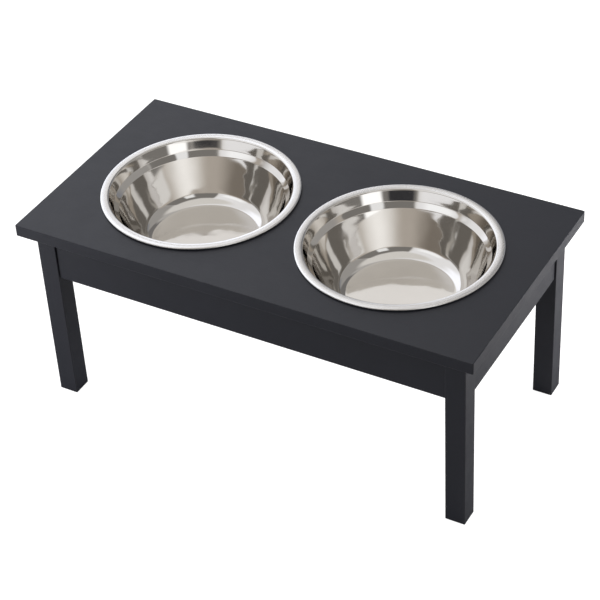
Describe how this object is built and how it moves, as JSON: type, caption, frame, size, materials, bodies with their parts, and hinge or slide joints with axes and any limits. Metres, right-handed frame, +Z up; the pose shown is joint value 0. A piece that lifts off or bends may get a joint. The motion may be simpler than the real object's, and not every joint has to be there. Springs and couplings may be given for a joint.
{
  "type": "elevated dog bowl stand",
  "caption": "Low black table-style pet feeding stand: flat top with round cut-outs carrying lift-out polished steel bowls, on aprons and square legs.",
  "frame": {"origin": "on the floor under the middle of the stand", "axes": "+X along the stand's length to the right as seen from the front, +Y towards the back, +Z up"},
  "size_m": [0.584, 0.304, 0.2587],
  "materials": {
    "black_paint": "satin black sprayed paint on wood and fibreboard",
    "polished_stainless": "mirror-polished stainless steel, satin rim",
    "zinc_steel": "bright zinc plating",
    "bare_pine": "unfinished sawn softwood",
    "foot_rubber": "matte"
  },
  "bodies": {
    "stand": {"top_panel": "black_paint", "leg_front_left": "black_paint", "leg_front_right": "black_paint", "leg_back_left": "black_paint", "leg_back_right": "black_paint", "apron_front": "black_paint", "apron_back": "black_paint", "apron_left": "black_paint", "apron_right": "black_paint", "corner_block_front_left": "bare_pine", "corner_block_front_right": "bare_pine", "corner_block_back_left": "bare_pine", "corner_block_back_right": "bare_pine", "hanger_bolts": "zinc_steel", "bolt_washers": "zinc_steel", "wing_nuts": "zinc_steel", "corner_block_screws": "zinc_steel", "top_fixing_screws": "zinc_steel", "apron_dowels": "bare_pine", "foot_pad_front_left": "foot_rubber", "foot_pad_front_right": "foot_rubber", "foot_pad_back_left": "foot_rubber", "foot_pad_back_right": "foot_rubber"},
    "left_bowl": {"bowl_left": "polished_stainless"},
    "right_bowl": {"bowl_right": "polished_stainless"}
  },
  "joints": [
    {"name": "left_bowl_lift", "type": "slide", "parent": "stand", "child": "left_bowl", "axis": [0, 0, 1], "range_m": [0, 0.12]},
    {"name": "right_bowl_lift", "type": "slide", "parent": "stand", "child": "right_bowl", "axis": [0, 0, 1], "range_m": [0, 0.12]}
  ]
}
